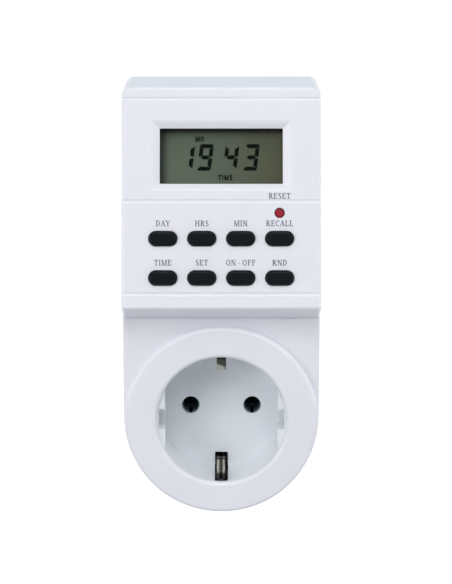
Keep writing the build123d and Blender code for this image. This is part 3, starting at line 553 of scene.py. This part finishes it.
def alphabet(stem, hair, foot):
    """Capitals one unit high: each letter's advance and its flat strokes."""
    def serif(x, y, thickness=hair):
        reach = thickness / 2 + foot
        level = hair / 2 if y == 0 else 1 - hair / 2
        return stroke(x - reach, level, x + reach, level, hair)

    def upright(x, thickness=stem):
        return [stroke(x, 0, x, 1, thickness), serif(x, 0, thickness), serif(x, 1, thickness)]

    def arm(x0, x1, y, tick):
        return [stroke(x0, y, x1, y, hair), stroke(x1 - hair / 2, y, x1 - hair / 2, y + tick, hair)]

    def bowl(x, y, width, height, start, end, steps=14):
        def ring(turn, inset_x, inset_y):
            return Vector((x + (width - inset_x) * math.cos(turn), y + (height - inset_y) * math.sin(turn)))

        turns = [math.radians(start + (end - start) * step / steps) for step in range(steps + 1)]
        return [
            [ring(a, 0, 0), ring(b, 0, 0), ring(b, stem, hair), ring(a, stem, hair)]
            for a, b in zip(turns, turns[1:])
        ]

    top = 1 - hair / 2
    low = hair / 2
    return {
        "A": (0.92, [
            stroke(0.10, 0, 0.46, 1, hair), stroke(0.46, 1, 0.80, 0, stem),
            stroke(0.22, 0.36, 0.66, 0.36, hair), serif(0.10, 0), serif(0.80, 0, stem)]),
        "C": (0.86, [*bowl(0.47, 0.5, 0.43, 0.51, 48, 312), stroke(0.76, 0.70, 0.76, 0.98, hair)]),
        "D": (0.94, [
            *upright(0.22), *bowl(0.36, 0.5, 0.52, 0.5, -90, 90), stroke(0.22, top, 0.40, top, hair),
            stroke(0.22, low, 0.40, low, hair)]),
        "E": (0.82, [
            *upright(0.22), *arm(0.22, 0.76, top, -0.22), *arm(0.22, 0.60, 0.51, 0.12),
            *arm(0.22, 0.78, low, 0.24)]),
        "F": (0.78, [*upright(0.22), *arm(0.22, 0.74, top, -0.22), *arm(0.22, 0.60, 0.51, 0.12)]),
        "H": (1.02, [*upright(0.22), *upright(0.80), stroke(0.22, 0.51, 0.80, 0.51, hair)]),
        "I": (0.44, upright(0.22)),
        "L": (0.80, [*upright(0.22), *arm(0.22, 0.76, low, 0.24)]),
        "M": (1.20, [
            *upright(0.18, hair), *upright(1.00), stroke(0.18, 1, 0.58, 0.02, stem),
            stroke(0.58, 0.02, 1.00, 1, hair)]),
        "N": (1.00, [*upright(0.18, hair), *upright(0.82, hair), stroke(0.20, 0.96, 0.80, 0.04, stem)]),
        "O": (0.96, bowl(0.48, 0.5, 0.44, 0.51, 0, 360, 28)),
        "R": (0.92, [
            *upright(0.22), *bowl(0.38, 0.74, 0.36, 0.26, -90, 90), stroke(0.22, top, 0.40, top, hair),
            stroke(0.22, 0.52, 0.42, 0.52, hair), stroke(0.44, 0.50, 0.78, 0.02, stem), serif(0.82, 0)]),
        "S": (0.70, [
            *bowl(0.36, 0.74, 0.29, 0.27, 30, 250), *bowl(0.36, 0.26, 0.30, 0.27, -150, 70),
            stroke(0.20, 0.60, 0.52, 0.42, stem)]),
        "T": (0.86, [
            stroke(0.43, 0, 0.43, 1, stem), serif(0.43, 0, stem), stroke(0.06, top, 0.80, top, hair),
            stroke(0.08, top, 0.08, 0.72, hair), stroke(0.78, top, 0.78, 0.72, hair)]),
        "Y": (0.90, [
            stroke(0.10, 1, 0.45, 0.42, stem), stroke(0.80, 1, 0.45, 0.42, hair),
            stroke(0.45, 0, 0.45, 0.46, stem), serif(0.45, 0, stem), serif(0.10, 1, stem), serif(0.80, 1)]),
        "-": (0.50, [stroke(0.06, 0.42, 0.44, 0.42, hair)]),
        " ": (0.22, []),
    }


# Printed letters have serifs and thin bars, and those in the display are plain and heavy
printed = alphabet(stem=0.19, hair=0.10, foot=0.10)
plain = alphabet(stem=0.25, hair=0.22, foot=0.0)


def word_outlines(letters, word, height, squeeze):
    """A word's strokes, centred on the origin."""
    length = sum(letters[letter][0] + LETTER_GAP for letter in word) - LETTER_GAP
    place = -length / 2
    width = height * squeeze
    outlines = []
    for letter in word:
        advance, shapes = letters[letter]
        for shape in shapes:
            outlines.append([Vector(((place + p.x) * width, (p.y - 0.5) * height)) for p in shape])
        place += advance + LETTER_GAP
    return outlines


LEGEND_HEIGHT = 1.7 * MM
LEGEND_SQUEEZE = 0.84
LEGEND_RISE = 4.5 * MM
RESET_LEGEND_RISE = 5.0 * MM
INK = 0.015 * MM
words = {
    "button_day": "DAY",
    "button_hour": "HRS",
    "button_minute": "MIN",
    "button_recall": "RECALL",
    "button_time": "TIME",
    "button_program": "SET",
    "button_mode": "ON - OFF",
    "button_random": "RND",
    "reset_button": "RESET",
}
legend_meshes = []
for node, word in words.items():
    x, rise = panel_centre(node)
    lift = RESET_LEGEND_RISE if node == "reset_button" else LEGEND_RISE
    place = panel_matrix(x, rise + lift, panel_level)
    outlines = word_outlines(printed, word, LEGEND_HEIGHT, LEGEND_SQUEEZE)
    legend_meshes.append(plates(outlines, place, INK))
joined("legends", legend_meshes, ink, HOUSING)


# Display segments, on the face of the cell

DIGIT_WIDTH = 4.1 * MM
DIGIT_HEIGHT = 7.9 * MM
BAR = 1.18 * MM
BAR_GAP = 0.07 * MM
BAR_CUT = 0.4 * MM
SIDE_BAR_FOOT = 0.25 * MM
SLANT = math.tan(math.radians(7))
LIT = {"1": "bc", "3": "abcdg", "4": "bcfg", "9": "abcdfg"}


def digit_bars(figure, middle):
    """The outlines of a figure's lit bars, mitred where they meet and slanted to the right."""
    side = DIGIT_WIDTH / 2
    top = DIGIT_HEIGHT / 2
    mitre = BAR - BAR_CUT
    end_bar = [
        (BAR_CUT - side, top), (side - BAR_CUT, top), (side, top - BAR_CUT),
        (side - mitre, top - BAR), (mitre - side, top - BAR), (-side, top - BAR_CUT),
    ]
    side_top = top - 2 * BAR_GAP
    side_bar = [
        (side, side_top - BAR_CUT), (side - mitre, side_top - BAR), (side - BAR, side_top - BAR),
        (side - BAR, BAR / 2 + BAR_GAP), (side - BAR / 2, SIDE_BAR_FOOT), (side, SIDE_BAR_FOOT),
    ]
    middle_bar = [
        (BAR / 2 + BAR_GAP - side, 0), (BAR + BAR_GAP - side, BAR / 2), (side - BAR - BAR_GAP, BAR / 2),
        (side - BAR / 2 - BAR_GAP, 0), (side - BAR - BAR_GAP, -BAR / 2), (BAR + BAR_GAP - side, -BAR / 2),
    ]
    bars = {
        "a": (end_bar, 1, 1), "d": (end_bar, 1, -1), "g": (middle_bar, 1, 1),
        "b": (side_bar, 1, 1), "c": (side_bar, 1, -1), "f": (side_bar, -1, 1),
    }
    outlines = []
    for bar in LIT[figure]:
        shape, flip_x, flip_y = bars[bar]
        points = [(x * flip_x, y * flip_y) for x, y in shape]
        outlines.append([Vector((middle + x + y * SLANT, y)) for x, y in points])
    return outlines


# Each figure's place across the display, and each small word's place across and up, in millimetres
figures = (("1", -10.25), ("9", -4.7), ("4", 2.9), ("3", 8.95))
marks = (("MO", -6.4, 5.5), ("TIME", 1.2, -6.0))
MARK_HEIGHT = 1.65 * MM
MARK_SQUEEZE = 0.72
SEGMENT = 0.05 * MM

display_x = sum(window_across) / 2
display_rise = sum(window_rise) / 2
cell_face = panel_span("lcd_glass")[2][1]
display = panel_matrix(display_x, display_rise, cell_face)
outlines = [outline for figure, x in figures for outline in digit_bars(figure, x * MM)]
segment_meshes = [plates(outlines, display, SEGMENT)]
for word, x, rise in marks:
    place = display @ Matrix.Translation((x * MM, rise * MM, 0))
    outlines = word_outlines(plain, word, MARK_HEIGHT, MARK_SQUEEZE)
    segment_meshes.append(plates(outlines, place, SEGMENT))
joined("lcd_segments", segment_meshes, segment_ink, HOUSING)


# Floor, light and camera

FLOOR_HALF_SIZE = 9.0
FLOOR_HEIGHT = -0.42
FLOOR_SCALE = 3.0
FLOOR_DARK = (0.64, 0.64, 0.65)
FLOOR_LIGHT = (0.66, 0.66, 0.67)
FLOOR_ROUGHNESS = 0.9
FLOOR_SPECULAR = 0.1
FLOOR_GLOW = 0.94
FILL = (0.095, 0.100, 0.105, 1)
WHITE = (1, 1, 1, 1)


def stage_light_path(tree):
    """1 for rays from the camera, mirrors and clear pieces, and 0 for light that falls on the object."""
    path = tree.nodes.new("ShaderNodeLightPath")
    value = path.outputs["Is Camera Ray"]
    for name in ("Is Glossy Ray", "Is Transmission Ray"):
        larger = tree.nodes.new("ShaderNodeMath")
        larger.operation = "MAXIMUM"
        tree.links.new(value, larger.inputs[0])
        tree.links.new(path.outputs[name], larger.inputs[1])
        value = larger.outputs[0]
    return value


floor_mesh = bpy.data.meshes.new("floor")
floor_build = bmesh.new()
bmesh.ops.create_grid(floor_build, x_segments=1, y_segments=1, size=FLOOR_HALF_SIZE)
floor_build.to_mesh(floor_mesh)
floor_build.free()
floor = bpy.data.objects.new("floor", floor_mesh)
floor.location = (0, 0, FLOOR_HEIGHT)
scene.collection.objects.link(floor)
floor_material, floor_tree, floor_shader, _ = new_material("floor_pale")
pale = noise(floor_tree, object_coordinates(floor_tree), FLOOR_SCALE)
floor_colour = two_tone(floor_tree, pale, FLOOR_DARK, FLOOR_LIGHT)
floor_tree.links.new(floor_colour, floor_shader.inputs["Base Color"])
floor_shader.inputs["Roughness"].default_value = FLOOR_ROUGHNESS
floor_shader.inputs["Specular IOR Level"].default_value = FLOOR_SPECULAR
floor_shader.inputs["Emission Color"].default_value = WHITE
glow = floor_tree.nodes.new("ShaderNodeMath")
glow.operation = "MULTIPLY"
glow.inputs[1].default_value = FLOOR_GLOW
floor_tree.links.new(stage_light_path(floor_tree), glow.inputs[0])
floor_tree.links.new(glow.outputs[0], floor_shader.inputs["Emission Strength"])
floor_mesh.materials.append(floor_material)

world = bpy.data.worlds.new("studio")
world.use_nodes = True
world_tree = world.node_tree
world_tree.nodes.clear()
world_output = world_tree.nodes.new("ShaderNodeOutputWorld")
fill = world_tree.nodes.new("ShaderNodeBackground")
fill.inputs["Color"].default_value = FILL
white = world_tree.nodes.new("ShaderNodeBackground")
white.inputs["Color"].default_value = WHITE
world_mix = world_tree.nodes.new("ShaderNodeMixShader")
world_tree.links.new(stage_light_path(world_tree), world_mix.inputs[0])
world_tree.links.new(fill.outputs[0], world_mix.inputs[1])
world_tree.links.new(white.outputs[0], world_mix.inputs[2])
world_tree.links.new(world_mix.outputs[0], world_output.inputs["Surface"])
scene.world = world

AIM = Vector((0, -0.03, 0.035))
LAMP_WHITE = (1.0, 0.985, 0.985)
LAMP_BLUE = (0.48, 0.85, 1.0)


def soft_box(name, direction, distance, size, power, tint):
    """A square lamp that faces the object."""
    lamp = bpy.data.lights.new(name, "AREA")
    lamp.shape = "SQUARE"
    lamp.size = size
    lamp.energy = power
    lamp.color = tint
    holder = bpy.data.objects.new(name, lamp)
    toward = Vector(direction).normalized()
    holder.location = AIM + toward * distance
    holder.rotation_euler = toward.to_track_quat("Z", "Y").to_euler()
    scene.collection.objects.link(holder)


# Each lamp's direction from the object, distance and size in metres, power and colour
lamps = {
    "front_top": ((0.0, -0.70, 0.70), 2.2, 1.0, 14.2, LAMP_WHITE),
    "steep": ((0.0, -0.50, 0.87), 2.2, 1.0, 11.6, LAMP_WHITE),
    "left": ((-0.70, -0.70, 0.20), 1.3, 0.60, 5.9, LAMP_WHITE),
    "right_top": ((0.60, -0.65, 0.45), 1.3, 0.60, 2.0, LAMP_WHITE),
    "right_side": ((1.0, -0.12, 0.10), 1.3, 0.60, 5.2, LAMP_WHITE),
    "left_side": ((-1.0, 0.25, 0.15), 1.3, 0.60, 1.6, LAMP_WHITE),
    "back_top": ((0.0, 0.50, 1.0), 1.3, 0.60, 3.2, LAMP_BLUE),
    "back_left": ((-0.80, 0.60, 0.0), 1.6, 0.60, 4.5, LAMP_WHITE),
    "back_right": ((0.80, 0.60, 0.0), 1.6, 0.60, 4.5, LAMP_WHITE),
}
for name, settings in lamps.items():
    soft_box(name, *settings)

# The camera looks down by its dip, in degrees
CAMERA_PLACE = (0.0014, -0.61316, 0.17217)
CAMERA_DIP = 12.993
SENSOR_WIDTH = 36.0
LENS = 122.6
camera_data = bpy.data.cameras.new("camera")
camera_data.sensor_width = SENSOR_WIDTH
camera_data.lens = LENS
camera = bpy.data.objects.new("camera", camera_data)
camera.location = CAMERA_PLACE
camera.rotation_euler = (math.radians(90 - CAMERA_DIP), 0, 0)
scene.collection.objects.link(camera)
scene.camera = camera
